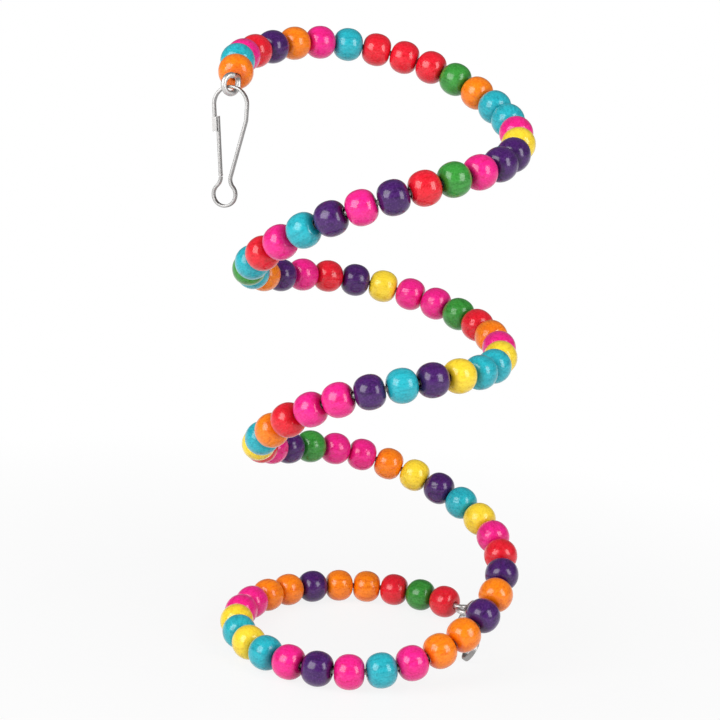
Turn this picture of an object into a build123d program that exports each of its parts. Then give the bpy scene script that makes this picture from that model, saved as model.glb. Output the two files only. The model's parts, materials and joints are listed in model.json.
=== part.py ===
from build123d import *
import os
from math import acos, atan, atan2, cos, degrees, floor, pi, radians, sin, sqrt, tan

# Bird swing: a spiral perch of lacquered wooden beads threaded on a hand-bent
# steel wire, with a spring clip hooked into the eye at each end of the wire.
# Millimetres, +Z up. The lowest turn is the flat ring that the swing stands on.

# Beads
BEAD_D = 10.0
BEAD_LENGTH = 8.45
BEAD_BORE = 2.4
BEAD_FACE_D = 2.8        # flat left round the mouth of the bore
BORE_CHAMFER = 0.1
BEAD_GAP = 0.172         # play between neighbours on the inside of a bend
END_PLAY = 0.885         # bare wire between the last bead and the eye

# Wire and its two end eyes
WIRE_D = 1.6
EYE_BEND = 1.7           # radius of the bend that turns the wire into its eye
UPPER_EYE_SWEEP = 285.0
LOWER_EYE_SWEEP = 290.0
UPPER_EYE_FACING = -46.0  # compass of the upper eye's hole, from +X

# Coil: the wire is bent by hand, so every quarter turn has its own radius and
# height. Each row is (degrees turned, radius over COIL_RADIUS in steps of
# HAND_STEP, height of the wire where the highest row is at COIL_HEIGHT).
COIL_RADIUS = 37.0
COIL_HEIGHT = 173.5
HAND_STEP = 0.5
LEAN_LEFT = 0.080        # the coil leans this far per millimetre of height
LEAN_BACK = 0.065
COIL_START = -158.0
RING_LEVEL = BEAD_D / 2
COIL = [
    (0, 7, 326),
    (22, 3, 336),
    (112, 0, 347),
    (202, 9, 303),
    (292, -4, 267),
    (382, -2, 217),
    (472, -1, 204),
    (562, 0, 181),
    (652, -2, 167),
    (742, -7, 115),
    (832, -7, 96),
    (922, 2, 57),
    (992, -4, 17),
]
# Flat ring at the bottom: (degrees turned, radius over COIL_RADIUS in steps)
RING = [(1057, 5), (1146, 7), (1236, 1)]

# Colours in order from the upper clip down
COLOURS = {"O": "orange", "T": "teal", "P": "pink", "R": "red", "V": "purple", "G": "green", "Y": "yellow"}
ORDER = (
    "OTPRVOPTRRRGOTTPYVVPGRVPVTPRTGTOVPRVYPPGROPYTTYVTVPPROTYRPVGPPOYVTYPRVOVOOPTPVPTYTYPPOOVOORGR"
)

# Spring clip, bent from one flat strip
STRIP_W = 1.5
STRIP_T = 0.8
STRIP_EDGE = 0.25        # rounding of the strip's edges
LOOP_INNER = 2.85        # radius of the small loop's hole
LOOP_MOUTH = 45.0        # where the strip leaves the loop, above its middle
NECK_GAP = 2.04          # between the two arms where they are nearest
ARM_LENGTH = 15.7
ARM_SPLAY = 12.5
ARM_BEND = 3.0
SHOULDER = 3.8
BOW_R = 4.85
TIP_LENGTH = 7.2
GATE_LENGTH = 16.7
GATE_SEAT = 0.15         # gate's play behind the hook's end
GATE_SIDE = 0.1          # gate's play between the cheeks
ROOT_GAP = 0.1
CHEEK_LENGTH = 4.0
CHEEK_T = 0.35
CHEEK_REACH = 0.5        # how far the cheeks stand in from the hook's end

# How the clips hang in the eyes
CLIP_TURN = -16.0        # upper clip about the vertical, from +X
CLIP_ROLL = 30.0         # lower clip about its own length, from upright
CLIP_LIE = 44.0          # compass of the lower clip, from the ring's end
EYE_PLAY = 0.05          # over the strip's thickness, in the eye
FLOOR_PLAY = 0.02


def biarc(p0, t0, p1, t1):
    """Two arcs that leave p0 along t0 and reach p1 along t1."""
    v = p1 - p0
    t = t0 + t1
    a = t.dot(t) - 4
    b = -2 * v.dot(t)
    c = v.dot(v)
    d = 2 * c / (-b + sqrt(b * b - 4 * a * c))
    q0 = p0 + t0 * d
    q1 = p1 - t1 * d
    j = (q0 + q1) * 0.5
    return [corner_arc(p0, q0, j), corner_arc(j, q1, p1)]


def corner_arc(start, corner, end):
    """Arc from start to end, tangent to both legs of the corner."""
    u = (corner - start).normalized()
    w = (end - corner).normalized()
    k = cos(0.5 * acos(max(-1.0, min(1.0, u.dot(w)))))
    mid = (start + corner * (2 * k) + end) * (1 / (2 + 2 * k))
    return Edge.make_three_point_arc(start, mid, end)


def wound(turned, turning):
    """Degrees really turned: the ring keeps its own, the coil above it takes the rest."""
    above = COIL[-2][0]
    return min(turned, above) * turning + max(turned - above, 0)


def coil_edges(turning):
    """The coil as tangent arcs, two for each stretch between stations."""
    top = max(row[2] for row in COIL)
    rows = [(turned, grow, COIL_HEIGHT * height / top) for turned, grow, height in COIL]
    rows += [(turned, grow, RING_LEVEL) for turned, grow in RING]
    polar = []
    for turned, grow, height in rows:
        angle = radians(COIL_START - wound(turned, turning))
        polar.append((angle, COIL_RADIUS + grow * HAND_STEP, height))
    points = []
    tangents = []
    for k, (angle, radius, height) in enumerate(polar):
        before = polar[max(k - 1, 0)]
        after = polar[min(k + 1, len(polar) - 1)]
        run = after[0] - before[0]
        swell = (after[1] - before[1]) / run
        climb = (after[2] - before[2]) / run
        if k >= len(COIL):
            climb = 0.0
        rise = height - RING_LEVEL
        points.append(Vector(
            radius * cos(angle) - LEAN_LEFT * rise,
            radius * sin(angle) + LEAN_BACK * rise,
            height,
        ))
        along = Vector(
            swell * cos(angle) - radius * sin(angle) - LEAN_LEFT * climb,
            swell * sin(angle) + radius * cos(angle) + LEAN_BACK * climb,
            climb,
        )
        tangents.append(along.normalized() * -1)
    edges = []
    for k in range(len(points) - 1):
        edges += biarc(points[k], tangents[k], points[k + 1], tangents[k + 1])
    return edges


def eye_edges(start, leaving, first, inward, sweep):
    """Bend the wire out of its line, then round into an open eye."""
    half = 0.5 * acos(max(-1.0, min(1.0, leaving.dot(first))))
    corner = start + leaving * (EYE_BEND * tan(half))
    mouth = corner + first * (EYE_BEND * tan(half))
    middle = mouth + inward * EYE_R
    edges = [corner_arc(start, corner, mouth)]
    count = 3
    for k in range(count):
        marks = [radians(sweep * (k + part) / count) for part in (0, 0.5, 1)]
        spots = [middle - inward * (EYE_R * cos(m)) + first * (EYE_R * sin(m)) for m in marks]
        edges.append(Edge.make_three_point_arc(*spots))
    return edges, middle


def backwards(edges):
    """The same run of arcs and lines, from its far end."""
    turned = []
    for edge in reversed(edges):
        if edge.geom_type == GeomType.LINE:
            turned.append(Edge.make_line(edge @ 1, edge @ 0))
        else:
            turned.append(Edge.make_three_point_arc(edge @ 1, edge @ 0.5, edge @ 0))
    return turned


def bead_solid():
    """Barrel bead: rounded from two small flat ends to its waist, with a drilled bore."""
    waist = BEAD_D / 2
    half = BEAD_LENGTH / 2
    bore = BEAD_BORE / 2
    face = BEAD_FACE_D / 2
    mouth = bore + BORE_CHAMFER
    down = Vector(0, 0, -1)
    middle = Vector(waist, 0, 0)
    outline = biarc(Vector(face, 0, half), Vector(1, 0, 0), middle, down)
    outline += biarc(middle, down, Vector(face, 0, -half), Vector(-1, 0, 0))
    corners = [
        (face, -half),
        (mouth, -half),
        (bore, BORE_CHAMFER - half),
        (bore, half - BORE_CHAMFER),
        (mouth, half),
        (face, half),
    ]
    for near, far in zip(corners, corners[1:]):
        outline.append(Edge.make_line((near[0], 0, near[1]), (far[0], 0, far[1])))
    return revolve(Face(Wire(outline)), axis=Axis.Z).solid()


def bend_strip(x, z, heading, steps):
    """Follow a bending list: ("run", length) or ("bend", radius, degrees left)."""
    edges = []
    for step in steps:
        h = radians(heading)
        if step[0] == "run":
            end = (x + step[1] * cos(h), z + step[1] * sin(h))
            edges.append(Edge.make_line((x, 0, z), (end[0], 0, end[1])))
        else:
            radius, turn = step[1], step[2]
            side = 1 if turn > 0 else -1
            cx = x - side * radius * sin(h)
            cz = z + side * radius * cos(h)
            marks = [h + radians(turn) / 2, h + radians(turn)]
            spots = [(cx + side * radius * sin(m), cz - side * radius * cos(m)) for m in marks]
            mid, end = spots
            edges.append(Edge.make_three_point_arc((x, 0, z), (mid[0], 0, mid[1]), (end[0], 0, end[1])))
            heading += turn
        x, z = end
    return edges, x, z, heading


def strip_solid(edges, width):
    """Flat wire with rounded edges along a run of edges in the XZ plane."""
    path = Wire(edges)
    plane = Plane(origin=path @ 0, x_dir=(0, 1, 0), z_dir=path % 0)
    section = plane * RectangleRounded(width, STRIP_T, STRIP_EDGE)
    return sweep(section, path=path).solid()


def clip_solids():
    """Hook and gate in the clip's own frame: loop at the origin, hook upwards."""
    loop_r = LOOP_INNER + STRIP_T / 2
    round_loop = 90 + LOOP_MOUTH
    mouth = cos(radians(LOOP_MOUTH))
    neck_bend = (loop_r * mouth - (NECK_GAP + STRIP_T) / 2) / (1 - mouth)
    out = 90 + LOOP_MOUTH - (90 - ARM_SPLAY)
    # The hook's end is tucked in until it lies along the back of the gate.
    lean = 5.0
    for _ in range(12):
        hook_side, x, z, heading = bend_strip(0, -loop_r, 0, [
            ("bend", loop_r, round_loop),
            ("bend", neck_bend, -out),
            ("run", ARM_LENGTH),
            ("bend", ARM_BEND, ARM_SPLAY),
            ("run", SHOULDER),
            ("bend", BOW_R, 180 + lean),
            ("run", TIP_LENGTH),
        ])
        tip = Vector(x, 0, z)
        tip_way = Vector(cos(radians(heading)), 0, sin(radians(heading)))
        tip_in = Vector(-sin(radians(heading)), 0, cos(radians(heading)))
        seat = tip + tip_in * (STRIP_T + GATE_SEAT)
        gate_side, x, z, heading = bend_strip(0, -loop_r, 180, [
            ("bend", loop_r, -round_loop),
            ("bend", neck_bend, round_loop - 90 + lean),
        ])
        lean = degrees(atan2(x - seat.X, seat.Z - z))
    gate_way = Vector(cos(radians(heading)), 0, sin(radians(heading)))
    root = Vector(x, 0, z)
    hook = strip_solid(backwards(gate_side) + hook_side, STRIP_W)
    # Channelled end: a wider sole with two cheeks that keep the gate in line.
    span = STRIP_W + 2 * GATE_SIDE + 2 * CHEEK_T
    sole = Plane(origin=tip - tip_way * (CHEEK_LENGTH / 2), x_dir=tip_way, z_dir=tip_in)
    hook += sole * Box(CHEEK_LENGTH, span, STRIP_T)
    for side in (-1, 1):
        lift = (CHEEK_REACH + STRIP_T) / 2 - STRIP_T / 2
        cheek = Box(CHEEK_LENGTH, CHEEK_T, STRIP_T + CHEEK_REACH)
        hook += sole * Pos(0, side * (span - CHEEK_T) / 2, lift) * cheek
    pivot = root + gate_way * (ROOT_GAP + STRIP_T / 2)
    gate = strip_solid([Edge.make_line(pivot, root + gate_way * GATE_LENGTH)], STRIP_W)
    knuckle = Plane(origin=pivot, x_dir=gate_way, z_dir=(0, 1, 0)) * Cylinder(STRIP_T / 2, STRIP_W)
    gate += knuckle
    hook = hook.solid()
    gate = gate.solid()
    weight = hook.volume + gate.volume
    middle = (hook.center() * hook.volume + gate.center() * gate.volume) * (1 / weight)
    bow_x = hook_side[4] @ 1
    bow = bow_x + Vector(-BOW_R, 0, 0)
    reach = BOW_R - STRIP_T / 2
    hang = Vector(middle.X, 0, bow.Z + sqrt(reach * reach - (middle.X - bow.X) ** 2))
    return hook, gate, pivot, hang, bow


def self_gap(edges, step, apart):
    """Least clear distance of the wire to itself, measured on points."""
    spots = []
    run = 0.0
    for edge in edges:
        count = max(2, floor(edge.length / step))
        for k in range(count):
            p = edge @ (k / count)
            spots.append((run + edge.length * k / count, p.X, p.Y, p.Z))
        run += edge.length
    least = 1e9
    for i, a in enumerate(spots):
        for b in spots[i + 1:]:
            if b[0] - a[0] > apart:
                gap = (a[1] - b[1]) ** 2 + (a[2] - b[2]) ** 2 + (a[3] - b[3]) ** 2
                least = min(least, gap)
    return sqrt(least) - WIRE_D


# Sizes that follow from the ones above
up = Vector(0, 0, 1)
slant = max(radians(CLIP_TURN - UPPER_EYE_FACING), radians(CLIP_ROLL))
EYE_R = STRIP_W / 2 / cos(slant) + WIRE_D / 2 + STRIP_T + EYE_PLAY
hang_rise = WIRE_D / 2 + 0.8 * STRIP_W * tan(slant)
half_step = atan((BEAD_LENGTH + BEAD_GAP) / 2 / (COIL_RADIUS - BEAD_FACE_D / 2))
bead_step = 2 * COIL_RADIUS * half_step
first_bead = END_PLAY + BEAD_LENGTH / 2

# The coil is wound on, or left shorter, until its beads just fill it
count = len(ORDER)
room = 2 * first_bead + (count - 1) * bead_step
turning = 1.0
for _ in range(20):
    coil = coil_edges(turning)
    run = sum(edge.length for edge in coil)
    turning *= room / run
print(f"coil {run:.2f} mm, {count} beads every {bead_step:.3f} mm, wound {turning:.7f} times the rows")

# Wire: upper eye, coil, lower eye, one unbroken tube
facing = radians(UPPER_EYE_FACING)
across = Vector(-sin(facing), cos(facing), 0)
upper_eye, upper_mid = eye_edges(coil[0] @ 0, (coil[0] % 0) * -1, up * -1, across * -1, UPPER_EYE_SWEEP)
away = coil[-1] % 1
aside = up.cross(away)
kink = acos(EYE_BEND / (EYE_BEND + EYE_R))
first = away * cos(kink) + aside * sin(kink)
lower_eye, lower_mid = eye_edges(coil[-1] @ 1, away, first, first.cross(up), LOWER_EYE_SWEEP)
route = backwards(upper_eye) + coil + lower_eye
path = Wire(route)
section = Plane(origin=path @ 0, z_dir=path % 0) * Circle(WIRE_D / 2)
wire = sweep(section, path=path, clean=False).solid()
tube = pi * WIRE_D ** 2 / 4 * path.length
print(f"wire length {path.length:.1f} mm, volume {wire.volume:.1f} against {tube:.1f} mm3")
print(f"least gap of the wire to itself {self_gap(route, 1.0, 3.5 * WIRE_D):.2f} mm")

# Beads along the coil
pattern = bead_solid()
beads = []
edge_start = 0.0
k = 0
for edge in coil:
    while k < count and first_bead + k * bead_step <= edge_start + edge.length:
        part = (first_bead + k * bead_step - edge_start) / edge.length
        seat = Plane(origin=edge @ part, z_dir=edge % part)
        beads.append((COLOURS[ORDER[k]], seat))
        k += 1
    edge_start += edge.length

# Clips: the upper one hangs in its eye, the lower one lies on the floor
hook, gate, pivot, hang, bow = clip_solids()
upper_pin = upper_mid - up * EYE_R
turn = radians(CLIP_TURN)
hold = upper_pin + up * hang_rise
frame = Plane(origin=(0, 0, 0), x_dir=(cos(turn), sin(turn), 0), z_dir=(0, 0, 1))
upper_spot = Pos(*(hold - frame.from_local_coords(hang))) * Location(frame)

lie = COIL_START - wound(RING[-1][0], turning) + CLIP_LIE
ahead = Vector(cos(radians(lie)), sin(radians(lie)), 0)
lower_pin = lower_mid - ahead * EYE_R
roll = radians(CLIP_ROLL)
hold = lower_pin + ahead * hang_rise
frame = Plane(origin=(0, 0, 0), x_dir=ahead.cross(up) * sin(roll) + up * cos(roll), z_dir=ahead)
flat_spot = Pos(*(hold - frame.from_local_coords(hang))) * Location(frame)
low, high = -10.0, 20.0
for _ in range(16):
    droop = (low + high) / 2
    tip_down = Rot(Z=lie) * Rot(Y=-droop) * Rot(Z=-lie)
    lower_spot = Pos(*lower_pin) * tip_down * Pos(*(lower_pin * -1)) * flat_spot
    height = min((lower_spot * body).bounding_box().min.Z for body in (hook, gate))
    if height > RING_LEVEL - BEAD_D / 2 + FLOOR_PLAY:
        low = droop
    else:
        high = droop

# Every second bead is a node of its own that turns on the wire; the rest
# are gathered by colour.
nodes = {"spiral_wire": [wire]}
places = {}
for name, spot in (("upper_clip", upper_spot), ("lower_clip", lower_spot)):
    nodes[name] = [spot * hook]
    nodes[name + "_gate"] = [spot * gate]
    places[name + "_gate"] = (spot * Pos(*pivot)).position
    places[name + "_loop"] = spot.position
    places[name + "_bow"] = (spot * Pos(*bow)).position
    frame = Plane(spot)
    for letter, way in (("x", frame.x_dir), ("y", frame.y_dir), ("z", frame.z_dir)):
        print(f"axis {name} {letter} {way.X:.6f} {way.Y:.6f} {way.Z:.6f}")
for k, (colour, seat) in enumerate(beads):
    solid = Location(seat) * pattern
    if k % 2 == 0:
        name = f"bead_{k + 1:02d}_{colour}"
        nodes[name] = [solid]
        places[name] = seat.origin
    else:
        nodes.setdefault(colour + "_beads", []).append(solid)
places["upper_eye_pin"] = upper_pin
places["lower_eye_pin"] = lower_pin

# Origin in the middle of the footprint, on the floor
box = nodes["spiral_wire"][0].bounding_box()
for group in nodes.values():
    for solid in group:
        box = box.add(solid.bounding_box())
shift = Vector(-box.center().X, -box.center().Y, -box.min.Z)
print(f"size {box.size.X:.2f} x {box.size.Y:.2f} x {box.size.Z:.2f} mm, moved by {shift}")
os.makedirs("parts", exist_ok=True)
for name, group in nodes.items():
    moved = [Pos(*shift) * solid for solid in group]
    export_step(moved[0] if len(moved) == 1 else Compound(children=moved), f"parts/{name}.step")
for name, spot in places.items():
    spot = spot + shift
    print(f"place {name} {spot.X:.4f} {spot.Y:.4f} {spot.Z:.4f}")
for k, (colour, seat) in enumerate(beads):
    if k % 2 == 0:
        print(f"spin bead_{k + 1:02d}_{colour} {seat.z_dir.X:.6f} {seat.z_dir.Y:.6f} {seat.z_dir.Z:.6f}")
print(f"axis upper_eye_pin x {across.X:.6f} {across.Y:.6f} 0")
print(f"eye radius {EYE_R:.3f} mm, lower clip droops {droop:.2f} degrees")
print(len(nodes), "nodes")
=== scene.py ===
# %% [markdown]
# # A spiral bird swing
# The swing is a hand-bent steel wire with ninety-odd lacquered wooden beads on
# it and a spring clip in the eye at each end. The solids come from the frame at
# their real size, so this lesson only dresses them: it turns the beads again
# with a little unevenness, gives wood and steel their finishes, and lights them
# as on a white table.

# %% Load the frame
import json
from math import pi, radians
import bpy
import numpy as np
from mathutils import Matrix, Vector

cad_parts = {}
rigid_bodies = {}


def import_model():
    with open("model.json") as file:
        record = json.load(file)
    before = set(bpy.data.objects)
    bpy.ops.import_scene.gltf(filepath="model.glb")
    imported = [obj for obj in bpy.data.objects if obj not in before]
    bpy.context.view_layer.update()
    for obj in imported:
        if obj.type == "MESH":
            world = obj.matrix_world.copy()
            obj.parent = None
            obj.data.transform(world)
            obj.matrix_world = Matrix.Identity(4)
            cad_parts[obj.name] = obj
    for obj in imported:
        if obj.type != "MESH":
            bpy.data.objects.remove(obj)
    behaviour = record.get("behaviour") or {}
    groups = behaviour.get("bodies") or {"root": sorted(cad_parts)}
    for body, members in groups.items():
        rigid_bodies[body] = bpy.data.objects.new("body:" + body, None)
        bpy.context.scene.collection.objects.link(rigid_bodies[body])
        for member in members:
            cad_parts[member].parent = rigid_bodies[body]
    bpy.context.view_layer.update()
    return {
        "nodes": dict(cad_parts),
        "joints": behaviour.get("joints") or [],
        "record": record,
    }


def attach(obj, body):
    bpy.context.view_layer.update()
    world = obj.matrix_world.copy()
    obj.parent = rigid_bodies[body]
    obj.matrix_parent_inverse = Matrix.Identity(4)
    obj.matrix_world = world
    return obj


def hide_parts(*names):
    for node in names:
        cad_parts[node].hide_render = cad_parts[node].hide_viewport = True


for leftover in list(bpy.data.objects):
    bpy.data.objects.remove(leftover)
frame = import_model()
MM = 0.001


def into_scene(name, data):
    """A new object that shows this mesh, lamp or lens."""
    made = bpy.data.objects.new(name, data)
    bpy.context.scene.collection.objects.link(made)
    return made


# %% [markdown]
# ## Camera
# The swing was photographed from a little above, with a long lens, and the
# picture leans: the upright clip stands a few degrees off the picture's side.
# So the camera is tilted down first and then rolled about its own axis.

# %% Camera
CAMERA_AT = (-2.5, -477.0, 176.7)
TILT_DOWN = 10.91
ROLL = 4.575
LENS = 83.4
SENSOR = 36.0
NEAREST = 10.0

lens = bpy.data.cameras.new("photo_lens")
lens.sensor_width = SENSOR
lens.lens = LENS
lens.clip_start = NEAREST * MM
camera = into_scene("photo_camera", lens)
tilt = Matrix.Rotation(radians(90 - TILT_DOWN), 4, "X")
roll = Matrix.Rotation(radians(ROLL), 4, "Z")
camera.matrix_world = Matrix.Translation(Vector(CAMERA_AT) * MM) @ tilt @ roll
bpy.context.scene.camera = camera
print("camera at", [round(v, 4) for v in camera.location])

# %% [markdown]
# ## Writing node trees as sums
# Shader and geometry trees use the same Math nodes, so one small class wraps a
# socket and turns plain Python sums into nodes. Every other node is added by one
# method: its type, its inputs, then its settings. Noise, ramps and mixes come up
# so often that each has a method of its own.


# %% Node helpers
class Sock:
    """An output socket that can be used in sums."""

    def __init__(self, nodes, socket):
        self.nodes = nodes
        self.socket = socket

    def out(self, name):
        """Another output of the same node."""
        return Sock(self.nodes, self.socket.node.outputs[name])

    def _math(self, operation, a, b):
        return self.nodes.add("ShaderNodeMath", {0: a, 1: b}, operation=operation)

    def __add__(self, other):
        return self._math("ADD", self, other)

    def __sub__(self, other):
        return self._math("SUBTRACT", self, other)

    def __mul__(self, other):
        return self._math("MULTIPLY", self, other)

    def __truediv__(self, other):
        return self._math("DIVIDE", self, other)

    def __pow__(self, other):
        return self._math("POWER", self, other)

    def __rsub__(self, other):
        return self._math("SUBTRACT", other, self)

    def __abs__(self):
        return self._math("ABSOLUTE", self, 0)

    def above(self, other):
        return self._math("GREATER_THAN", self, other)

    def at_least(self, other):
        return self._math("MAXIMUM", self, other)

    def at_most(self, other):
        return self._math("MINIMUM", self, other)


class Nodes:
    """A node tree with one way to add any node."""

    def __init__(self, tree):
        self.tree = tree

    def add(self, kind, inputs=None, **settings):
        node = self.tree.nodes.new(kind)
        for name, value in settings.items():
            setattr(node, name, value)
        for name, value in (inputs or {}).items():
            if isinstance(value, Sock):
                self.tree.links.new(value.socket, node.inputs[name])
            else:
                node.inputs[name].default_value = value
        return Sock(self, node.outputs[0]) if node.outputs else node

    def noise(self, place, scale, detail, roughness=0.5):
        return self.add("ShaderNodeTexNoise", {
            "Vector": place, "Scale": scale, "Detail": detail, "Roughness": roughness,
        })

    def ramp(self, value, *stops):
        """Grey shades between two stops, each a value and its shade."""
        made = self.add("ShaderNodeValToRGB", {"Fac": value})
        elements = made.socket.node.color_ramp.elements
        for element, (at, shade) in zip(elements, stops):
            element.position = at
            element.color = (shade, shade, shade, 1)
        return made

    def mix(self, share, a, b):
        """A colour share of the way from a to b."""
        made = self.add("ShaderNodeMix", {0: share, 6: a, 7: b}, data_type="RGBA")
        return Sock(self, made.socket.node.outputs[2])


print("node helpers:", Sock.__name__, "and", Nodes.__name__)

# %% [markdown]
# ## Starting a material
# Dyes are easiest to write as a colour picker shows them, but nodes work in
# linear light, so a colour is converted first. A new material comes with one
# Principled shader, and its sockets are fed by name.


# %% Material helpers
def from_srgb(red, green, blue):
    """A colour picker's 0 to 255 values as the linear colour that nodes use."""
    def linear(level):
        level /= 255
        return level / 12.92 if level < 0.04045 else ((level + 0.055) / 1.055) ** 2.4
    return (linear(red), linear(green), linear(blue))


def new_material(name):
    """An empty material: its nodes, and its shader with nothing linked yet."""
    material = bpy.data.materials.new(name)
    material.use_nodes = True
    tree = material.node_tree
    shader = tree.nodes["Principled BSDF"]
    return material, Nodes(tree), shader


def feed(nodes, shader, **sockets):
    """Link or set the shader's sockets, written with _ for a space."""
    for name, value in sockets.items():
        target = shader.inputs[name.replace("_", " ")]
        if isinstance(value, Sock):
            nodes.tree.links.new(value.socket, target)
        else:
            target.default_value = value


print("middle grey is", [round(v, 3) for v in from_srgb(128, 128, 128)], "in linear light")

# %% [markdown]
# ## Where the beads sit
# Every second bead turns on the wire, and its joint gives its middle and its
# bore's direction. The beads between share a node for each colour. Their middles
# are read from those solids: each is looked for halfway between its neighbours,
# and its bore runs along the line that joins them.

# %% Bead places
BEAD_D = 9.95
BEAD_LENGTH = 8.55
BEAD_REACH = 0.7 * BEAD_D

beads = {}
for joint in frame["joints"]:
    if not joint["name"].startswith("spin_bead_"):
        continue
    number = int(joint["name"].rsplit("_", 1)[1])
    body = joint["child"]
    node = frame["record"]["behaviour"]["bodies"][body][0]
    beads[number] = {
        "at": Vector(joint["pos_m"]),
        "bore": Vector(joint["axis"]),
        "node": node,
        "body": body,
        "colour": node.rsplit("_", 1)[1],
    }

shared = {}
for node, solid in frame["nodes"].items():
    if node.endswith("_beads"):
        faces = solid.data.polygons
        middles = np.empty(len(faces) * 3)
        areas = np.empty(len(faces))
        faces.foreach_get("center", middles)
        faces.foreach_get("area", areas)
        shared[node] = (middles.reshape(-1, 3), areas)

for number in range(2, max(beads), 2):
    before, after = beads[number - 1], beads[number + 1]
    halfway = (before["at"] + after["at"]) / 2
    for node, (middles, areas) in shared.items():
        near = np.linalg.norm(middles - np.array(halfway), axis=1) < BEAD_REACH * MM
        if near.any():
            middle = np.average(middles[near], axis=0, weights=areas[near])
            beads[number] = {
                "at": Vector(middle),
                "bore": (after["at"] - before["at"]).normalized(),
                "node": node,
                "body": "wire",
                "colour": node.rsplit("_", 1)[0],
            }
beads = dict(sorted(beads.items()))
in_shared = sum(bead["node"] in shared for bead in beads.values())
print(len(beads), "beads,", in_shared, "of them in shared nodes")

# %% [markdown]
# ## Bead finishes
# The beads are small turnings of pale wood, dyed through and dipped in clear
# lacquer. Four things give that away: the grain runs along the bore as fine
# darker streaks, pores show as pale specks and dark pits, the open grain at the
# two ends drinks more dye, and no two beads take the dye quite alike. The lacquer
# is a smooth coat over all of it.
#
# Dye works like coloured glass: twice as much of it is its colour squared, not
# its colour halved. So the deep and thin shades are the dye's colour raised to a
# higher and a lower power, which keeps yellow from turning grey in its streaks.
# The pattern reads each bead's own coordinates, which the turning stores, so that
# it follows the bore whichever way the bead lies.

# %% Lacquered wood
DYES = {
    "orange": (255, 126, 0),
    "teal": (26, 174, 190),
    "pink": (242, 18, 132),
    "red": (232, 14, 36),
    "purple": (60, 14, 92),
    "green": (46, 144, 46),
    "yellow": (255, 219, 44),
}
# Noise scales, per metre. The streaks are drawn out along the bore, and every
# bead's grain is shifted by its own share of GRAIN_SHIFT.
STREAKS_ACROSS = 1100.0
STREAK_STRETCH = 0.14
SPECKS_ACROSS = 1900.0
CLOUDS_ACROSS = 260.0
GRAIN_SHIFT = {"X": 0.31, "Y": 0.17, "Z": 0.07}
# Ramps: where each mark begins and where it is full.
LINE_RAMP = [(0.46, 0.0), (0.66, 1.0)]
SPECK_RAMP = [(0.52, 0.0), (0.68, 1.0)]
PIT_RAMP = [(0.30, 1.0), (0.44, 0.0)]
THIRSTY_RAMP = [(0.74, 0.0), (1.0, 1.0)]
# How strongly each mark shows.
CLOUD_SHARE = 0.8
DYE_SPREAD = 0.3
LINE_SHARE = 0.46
SPECK_SHARE = 0.42
PIT_SHARE = 0.45
THIRSTY_SHARE = 0.55
# Shades of a dye.
DEEP_POWER = 1.5
DEEP_LIGHT = 0.66
THIN_POWER = 0.85
BARE_LIGHT = 0.04
# Surface.
WOOD_ROUGHNESS = 0.38
LINE_ROUGHNESS = 0.08
WOOD_RELIEF = {"Strength": 0.12, "Distance": 0.0001}
LACQUER = {
    "Coat_Weight": 1.0,
    "Coat_Roughness": 0.17,
    "Coat_IOR": 1.46,
    "Specular_IOR_Level": 0.1,
}


def lacquered_wood(name, dye):
    material, nodes, shader = new_material(name)
    turned = nodes.add("ShaderNodeAttribute", attribute_name="turned_at").out("Vector")
    share = nodes.add("ShaderNodeAttribute", attribute_name="dye_share").out("Fac")
    drawn_out = nodes.add("ShaderNodeMapping", {
        "Vector": turned, "Scale": (1, 1, STREAK_STRETCH),
    })
    apart = nodes.add("ShaderNodeCombineXYZ", {
        axis: share * shift for axis, shift in GRAIN_SHIFT.items()
    })
    grain_space = nodes.add("ShaderNodeVectorMath", {0: drawn_out, 1: apart}, operation="ADD")
    streaks = nodes.noise(grain_space, STREAKS_ACROSS, detail=4.0, roughness=0.6)
    pores = nodes.noise(turned, SPECKS_ACROSS, detail=2.0)
    clouds = nodes.noise(grain_space, CLOUDS_ACROSS, detail=2.0)
    along = nodes.add("ShaderNodeSeparateXYZ", {"Vector": turned}).out("Z")
    ends = abs(along) / (BEAD_LENGTH / 2 * MM)
    lines = nodes.ramp(streaks, *LINE_RAMP)
    specks = nodes.ramp(pores, *SPECK_RAMP)
    pits = nodes.ramp(pores, *PIT_RAMP)
    thirsty = nodes.ramp(ends, *THIRSTY_RAMP)

    dyed = from_srgb(*dye)
    full = (*dyed, 1)
    deep = (*(DEEP_LIGHT * c ** DEEP_POWER for c in dyed), 1)
    thin = (*(c ** THIN_POWER for c in dyed), 1)
    bare = (*(c ** THIN_POWER + BARE_LIGHT for c in dyed), 1)
    took = clouds * CLOUD_SHARE + share * DYE_SPREAD - DYE_SPREAD / 2
    colour = nodes.mix(took, thin, full)
    colour = nodes.mix(lines * LINE_SHARE, colour, deep)
    colour = nodes.mix(specks * SPECK_SHARE, colour, bare)
    colour = nodes.mix(pits * PIT_SHARE, colour, deep)
    colour = nodes.mix(thirsty * THIRSTY_SHARE, colour, deep)
    relief = nodes.add("ShaderNodeBump", {**WOOD_RELIEF, "Height": streaks})
    rough = lines * LINE_ROUGHNESS + WOOD_ROUGHNESS
    feed(nodes, shader, Base_Color=colour, Roughness=rough, Normal=relief, **LACQUER)
    return material


woods = {colour: lacquered_wood(f"lacquered_{colour}", dye) for colour, dye in DYES.items()}
print(len(woods), "lacquered woods")

# %% [markdown]
# ## Turning the beads
# A bead is a barrel with a drilled bore, and a lathe makes it from one profile.
# The node tree does the same: a flat grid is wrapped round the bore, with one
# edge of the grid running over the outside and back through the bore. The bead
# is then set on every point it is given and turned to that point's bore. Each is
# a shade different in size and a little uneven, as sanded beads are.

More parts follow.
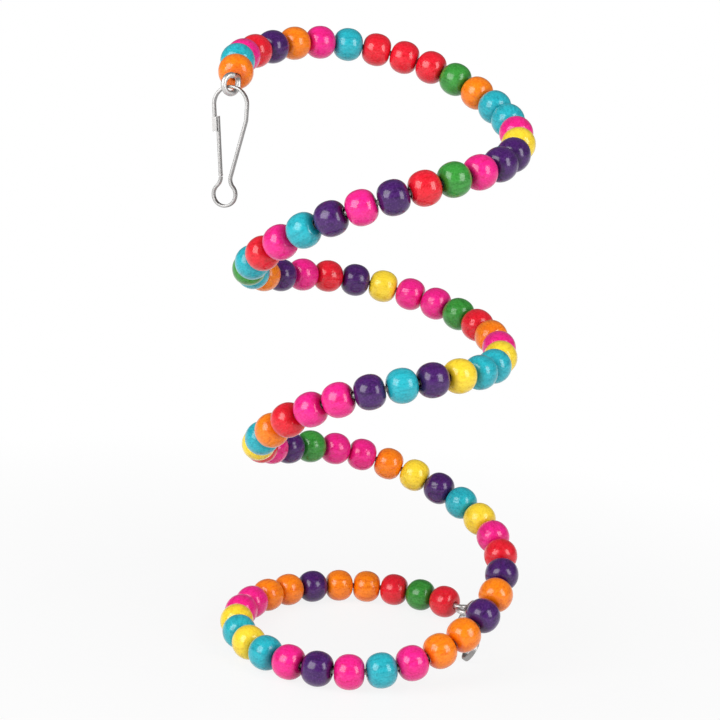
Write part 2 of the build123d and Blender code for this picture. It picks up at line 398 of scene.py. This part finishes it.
# %% Bead tree
BEAD_SIZES = {
    "Diameter": BEAD_D * MM,
    "Length": BEAD_LENGTH * MM,
    "Bore": 2.3 * MM,
    "Mouth": 2.6 * MM,
    "Fullness": 0.94,
    "Unevenness": 0.06 * MM,
    "Spread": 0.015,
}
ROUND = 48
PROFILE = 40
# The outside takes this share of the profile's way, and the bore the rest.
OUTSIDE = 0.8
PAST_MOUTH = 0.001
FLARE_POWER = 12
WELD = 0.002
# The lumps' noise, per metre, and the level that it is measured from.
LUMPS_ACROSS = 170.0
LUMP_LEVEL = 0.6
LUMP_SWING = 2.0
# Each kind of chance adds its own number to the seed.
ROLL_DRAW = 1
WIDTH_DRAW = 2
LENGTH_DRAW = 3
DYE_DRAW = 4


def bead_tree():
    tree = bpy.data.node_groups.new("turned_bead", "GeometryNodeTree")

    def socket(name, kind, way="INPUT"):
        return tree.interface.new_socket(name, in_out=way, socket_type="NodeSocket" + kind)

    socket("Geometry", "Geometry")
    for name, size in BEAD_SIZES.items():
        socket(name, "Float").default_value = size
    socket("Seed", "Int")
    socket("Material", "Material")
    socket("Geometry", "Geometry", "OUTPUT")
    nodes = Nodes(tree)
    given = nodes.add("NodeGroupInput")

    def trig(operation, angle):
        return nodes.add("ShaderNodeMath", {0: angle}, operation=operation)

    def position():
        return nodes.add("GeometryNodeInputPosition")

    # The profile: over the outside from one mouth to the other, back through the bore.
    flat = nodes.add("GeometryNodeMeshGrid", {
        "Size X": 1.0, "Size Y": 1.0, "Vertices X": ROUND + 1, "Vertices Y": PROFILE + 1,
    })
    spot = nodes.add("ShaderNodeSeparateXYZ", {0: position()})
    round_bore = (spot.out("X") + 0.5) * (2 * pi)
    way = spot.out("Y") + 0.5
    half = given.out("Length") * 0.5
    mouth = given.out("Mouth") * 0.5
    bore = given.out("Bore") * 0.5
    slope = (way / OUTSIDE - 0.5).at_most(0.5) * pi
    bulge = trig("COSINE", slope).at_least(0.0) ** given.out("Fullness")
    rise = trig("SINE", slope)
    outer_r = mouth + (given.out("Diameter") * 0.5 - mouth) * bulge
    outer_z = half * trig("SIGN", rise) * (abs(rise) ** given.out("Fullness"))
    back = (way - OUTSIDE) / (1 - OUTSIDE)
    inner_z = half * (1 - back * 2)
    flare = abs(back * 2 - 1) ** FLARE_POWER
    inner_r = bore + (mouth - bore) * flare
    inside = way.above(OUTSIDE + PAST_MOUTH)
    radius = outer_r + (inner_r - outer_r) * inside
    height = outer_z + (inner_z - outer_z) * inside
    place = nodes.add("ShaderNodeCombineXYZ", {
        "X": radius * trig("COSINE", round_bore),
        "Y": radius * trig("SINE", round_bore),
        "Z": height,
    })
    bead = nodes.add("GeometryNodeSetPosition", {"Geometry": flat, "Position": place})
    bead = nodes.add("GeometryNodeMergeByDistance", {"Geometry": bead, "Distance": WELD * MM})
    bead = nodes.add("GeometryNodeStoreNamedAttribute", {
        "Geometry": bead, "Name": "turned_at", "Value": position(),
    }, data_type="FLOAT_VECTOR", domain="POINT")

    # One bead on each point, turned to its bore and rolled about it.
    def chance(low, high, draw):
        made = nodes.add("FunctionNodeRandomValue", {
            2: low, 3: high, "Seed": given.out("Seed") + draw,
        }, data_type="FLOAT")
        return made.out(1)

    line = nodes.add("GeometryNodeInputNamedAttribute", {
        "Name": "bore_line",
    }, data_type="FLOAT_VECTOR")
    turn = nodes.add("FunctionNodeAlignRotationToVector", {"Vector": line}, axis="Z")
    spin = nodes.add("FunctionNodeAxisAngleToRotation", {
        "Axis": (0, 0, 1), "Angle": chance(0.0, 2 * pi, ROLL_DRAW),
    })
    turn = nodes.add("FunctionNodeRotateRotation", {0: turn, 1: spin}, rotation_space="LOCAL")
    small = 1 - given.out("Spread")
    width = chance(small, 1.0, WIDTH_DRAW)
    scale = nodes.add("ShaderNodeCombineXYZ", {
        "X": width, "Y": width, "Z": chance(small, 1.0, LENGTH_DRAW),
    })
    made = nodes.add("GeometryNodeInstanceOnPoints", {
        "Points": given.out("Geometry"), "Instance": bead, "Rotation": turn, "Scale": scale,
    })
    made = nodes.add("GeometryNodeStoreNamedAttribute", {
        "Geometry": made, "Name": "dye_share", "Value": chance(0.0, 1.0, DYE_DRAW),
    }, data_type="FLOAT", domain="INSTANCE")
    made = nodes.add("GeometryNodeRealizeInstances", {"Geometry": made})

    # Unevenness: every point is pushed in or out along its normal.
    lumps = nodes.noise(position(), LUMPS_ACROSS, detail=1.0)
    push = nodes.add("ShaderNodeVectorMath", {
        0: nodes.add("GeometryNodeInputNormal"),
        "Scale": (lumps - LUMP_LEVEL) * LUMP_SWING * given.out("Unevenness"),
    }, operation="SCALE")
    made = nodes.add("GeometryNodeSetPosition", {"Geometry": made, "Offset": push})
    made = nodes.add("GeometryNodeSetShadeSmooth", {"Geometry": made})
    made = nodes.add("GeometryNodeSetMaterial", {
        "Geometry": made, "Material": given.out("Material"),
    })
    nodes.add("NodeGroupOutput", {"Geometry": made})
    return tree


turning = bead_tree()
print("bead tree:", len(turning.nodes), "nodes")

# %% [markdown]
# ## Beads on their bodies
# A bead that turns has to be a piece of its own, riding on its own body. The
# beads of a shared node are made together and ride on the wire. Each result is
# turned into a plain mesh, because the export keeps no instances.


# %% Beads
def turn_beads(name, members, colour, seed):
    """The beads at these places as one plain mesh."""
    points = bpy.data.meshes.new(name + "_points")
    points.from_pydata([bead["at"] for bead in members], [], [])
    lines = points.attributes.new("bore_line", "FLOAT_VECTOR", "POINT")
    for bead, line in zip(members, lines.data):
        line.vector = bead["bore"]
    source = into_scene(name + "_points", points)
    lathe = source.modifiers.new("turning", "NODES")
    lathe.node_group = turning
    sockets = {s.name: s.identifier for s in turning.interface.items_tree if s.in_out == "INPUT"}
    for size, value in BEAD_SIZES.items():
        lathe[sockets[size]] = value
    lathe[sockets["Seed"]] = seed
    lathe[sockets["Material"]] = woods[colour]
    ready = source.evaluated_get(bpy.context.evaluated_depsgraph_get())
    mesh = bpy.data.meshes.new_from_object(ready)
    mesh.name = name
    bpy.data.objects.remove(source)
    bpy.data.meshes.remove(points)
    return into_scene(name, mesh)


SEED_STEP = 10

by_node = {}
for number, bead in beads.items():
    by_node.setdefault(bead["node"], []).append(number)
for node, numbers in by_node.items():
    members = [beads[n] for n in numbers]
    colour = members[0]["colour"]
    piece = turn_beads("turned_" + node, members, colour, seed=SEED_STEP * numbers[0])
    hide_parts(node)
    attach(piece, members[0]["body"])
    "bead_" + colour
print(len(by_node), "bead pieces,", len(piece.data.polygons) // len(members), "faces a bead")

# %% [markdown]
# ## Steel
# The wire is drawn bright and the clips are bent from plated flat strip. Both
# keep their solids from the frame. What makes small steel look real is that its
# shine is not even: fine drawing marks, faint cloudiness in the plating, and a
# few darker specks. Between the beads the wire's colour is darkened as painted
# shade for the shadow the beads cast there, so it stays bright only round the two eyes, where
# the clips swing.

# %% Steel finishes
# Painted shade on the wire: within this many mm of an eye the wire keeps its own colour, and the
# painted shade comes in over the next few mm.
UNSHADED_REACH = 8.0
SHADE_FADE = 3.0
EYES = [joint["pos_m"] for joint in frame["joints"] if joint["name"].startswith("clip_swing")]
# Shades, as shares of the steel's own tone.
LIGHT_STEEL = (1.0, 0.99, 0.98)
DULL_STEEL = (0.8, 0.78, 0.76)
DARK_STEEL = (0.45, 0.43, 0.41)
# Marks: noise scales per metre, the ramp of the specks, and how strongly they show.
PLATING_CLOUDS = 320.0
WIRE_MARKS = 2600.0
STRIP_MARKS = 900.0
MARK_RAMP = [(0.66, 0.0), (0.80, 1.0)]
MARK_SHARE = 0.15
# How far the wire's colour goes towards dark steel as painted shade between the beads; then the
# roughness that the plating's clouds add.
PAINTED_SHADE_SHARE = 0.8
CLOUD_ROUGHNESS = 0.12
STEEL_RELIEF = {"Strength": 0.015, "Distance": 0.00002}


def bright_steel(name, tone, roughness, mark_scale, unshaded_at=()):
    material, nodes, shader = new_material(name)
    place = nodes.add("ShaderNodeTexCoord").out("Object")
    clouds = nodes.noise(place, PLATING_CLOUDS, detail=3.0)
    marks = nodes.noise(place, mark_scale, detail=3.0)
    specks = nodes.ramp(marks, *MARK_RAMP)
    light, dull, dark = (
        (*(tone * part for part in shade), 1) for shade in (LIGHT_STEEL, DULL_STEEL, DARK_STEEL)
    )
    colour = nodes.mix(clouds, light, dull)
    colour = nodes.mix(specks * MARK_SHARE, colour, dark)
    # Painted shade: away from the eyes the wire's colour is darkened, standing in for the shadow
    # the beads cast on it.
    painted_shade = 1.0
    for eye in unshaded_at:
        apart = nodes.add("ShaderNodeVectorMath", {0: place, 1: eye}, operation="DISTANCE")
        far = apart.out("Value")
        painted_shade = ((far / MM - UNSHADED_REACH) / SHADE_FADE).at_least(0.0).at_most(painted_shade)
    if unshaded_at:
        colour = nodes.mix(painted_shade * PAINTED_SHADE_SHARE, colour, dark)
    relief = nodes.add("ShaderNodeBump", {**STEEL_RELIEF, "Height": marks})
    rough = clouds * CLOUD_ROUGHNESS + roughness
    feed(nodes, shader, Base_Color=colour, Metallic=1.0, Roughness=rough, Normal=relief)
    return material


wire_finish = bright_steel("drawn_wire", 0.74, 0.42, WIRE_MARKS, EYES)
strip_finish = bright_steel("plated_strip", 0.42, 0.34, STRIP_MARKS)
FINISHES = {
    "spiral_wire": wire_finish,
    "upper_clip": strip_finish,
    "upper_clip_gate": strip_finish,
    "lower_clip": strip_finish,
    "lower_clip_gate": strip_finish,
}
for node, finish in FINISHES.items():
    solid = frame["nodes"][node]
    for place in solid.material_slots:
        place.material = finish
print("steel on", ", ".join(FINISHES))

# %% [markdown]
# ## Table
# The swing stands on a plain white table. To the camera the table shines white by
# itself, apart from the part near the swing, where a share of its real surface
# shows and the shadow with it. Steel and lacquer mirror the table a little less
# bright than the camera sees it. Everything else is lit by the surface alone.

# %% Table
TABLE_R = 3.0
TABLE_SIDES = 96
TABLE_WHITE = (0.78, 0.78, 0.78, 1)
TABLE_ROUGHNESS = 0.4
SHADOW_SHARE = 0.16
SHADOW_REACH = 0.25
TABLE_IN_GLOSS = 0.7
PURE_WHITE = (1, 1, 1, 1)

disc = bpy.data.meshes.new("table")
angles = np.linspace(0, 2 * pi, TABLE_SIDES, endpoint=False)
ring = [(TABLE_R * np.cos(a), TABLE_R * np.sin(a), 0.0) for a in angles]
disc.from_pydata(ring, [], [list(range(TABLE_SIDES))])
table = into_scene("table", disc)
white, nodes, shader = new_material("white_table")
feed(nodes, shader, Base_Color=TABLE_WHITE, Roughness=TABLE_ROUGHNESS)
glow = nodes.add("ShaderNodeEmission", {"Color": PURE_WHITE, "Strength": 1.0})
path = nodes.add("ShaderNodeLightPath")
mirrored = path.out("Is Glossy Ray") * TABLE_IN_GLOSS
seen = path.out("Is Camera Ray").at_least(mirrored).at_least(path.out("Is Transmission Ray"))
surface = Sock(nodes, shader.outputs["BSDF"])
place = nodes.add("ShaderNodeTexCoord").out("Object")
away = nodes.add("ShaderNodeVectorMath", {0: place}, operation="LENGTH").out("Value")
near = (1 - away / SHADOW_REACH).at_least(0.0)
shining = seen * (1 - near * SHADOW_SHARE)
mixed = nodes.add("ShaderNodeMixShader", {0: shining, 1: surface, 2: glow})
nodes.tree.links.new(mixed.socket, white.node_tree.nodes["Material Output"].inputs["Surface"])
disc.materials.append(white)
print("table radius", TABLE_R, "m")

# %% [markdown]
# ## Surroundings
# The room is white to the camera as well. For the light that falls on the swing
# it is only a dim, even grey, so that colours come out about as they are written.
# What the lacquer and the steel mirror is a third room: pale at the horizon and
# darker overhead, which gives the beads a dark upper edge to shine against.

# %% Surroundings
AMBIENT = 0.31
MIRRORED_ROOM = [(0.0, 0.7), (0.16, 0.15)]

world = bpy.data.worlds.new("white_room")
world.use_nodes = True
room = Nodes(world.node_tree)
world.node_tree.nodes.remove(world.node_tree.nodes["Background"])
path = room.add("ShaderNodeLightPath")
direction = room.add("ShaderNodeTexCoord").out("Generated")
height = room.add("ShaderNodeSeparateXYZ", {0: direction}).out("Z")
upward = room.ramp(height, *MIRRORED_ROOM)
plain = room.add("ShaderNodeBackground", {"Color": PURE_WHITE, "Strength": AMBIENT})
backdrop = room.add("ShaderNodeBackground", {"Color": PURE_WHITE, "Strength": 1.0})
overhead = room.add("ShaderNodeBackground", {"Color": upward, "Strength": 1.0})
seen = path.out("Is Camera Ray").at_least(path.out("Is Transmission Ray"))
mixed = room.add("ShaderNodeMixShader", {0: path.out("Is Glossy Ray"), 1: plain, 2: overhead})
mixed = room.add("ShaderNodeMixShader", {0: seen, 1: mixed, 2: backdrop})
room.tree.links.new(mixed.socket, world.node_tree.nodes["World Output"].inputs["Surface"])
bpy.context.scene.world = world
bpy.context.scene.view_settings.view_transform = "Standard"
print("ambient", AMBIENT)

# %% [markdown]
# ## Soft boxes
# Two soft boxes light the swing, one on each side of the camera, which is why
# every bead carries two pale windows. The left one is wider and stronger. The
# camera doesn't see the boxes themselves.

# %% Soft boxes
AIM = (0.0, 0.0, 0.09)
SOFT_BOXES = {
    "soft_box_left": {"at": (-0.42, -0.40, 0.36), "size": (0.47, 0.47), "watts": 3.6},
    "soft_box_right": {"at": (0.44, -0.36, 0.34), "size": (0.26, 0.46), "watts": 2.1},
}
for name, box in SOFT_BOXES.items():
    lamp = bpy.data.lights.new(name, "AREA")
    lamp.shape = "RECTANGLE"
    lamp.size, lamp.size_y = box["size"]
    lamp.energy = box["watts"]
    holder = into_scene(name, lamp)
    holder.location = box["at"]
    to_swing = Vector(AIM) - Vector(box["at"])
    holder.rotation_euler = to_swing.to_track_quat("-Z", "Y").to_euler()
    holder.visible_camera = False
print(len(SOFT_BOXES), "soft boxes")
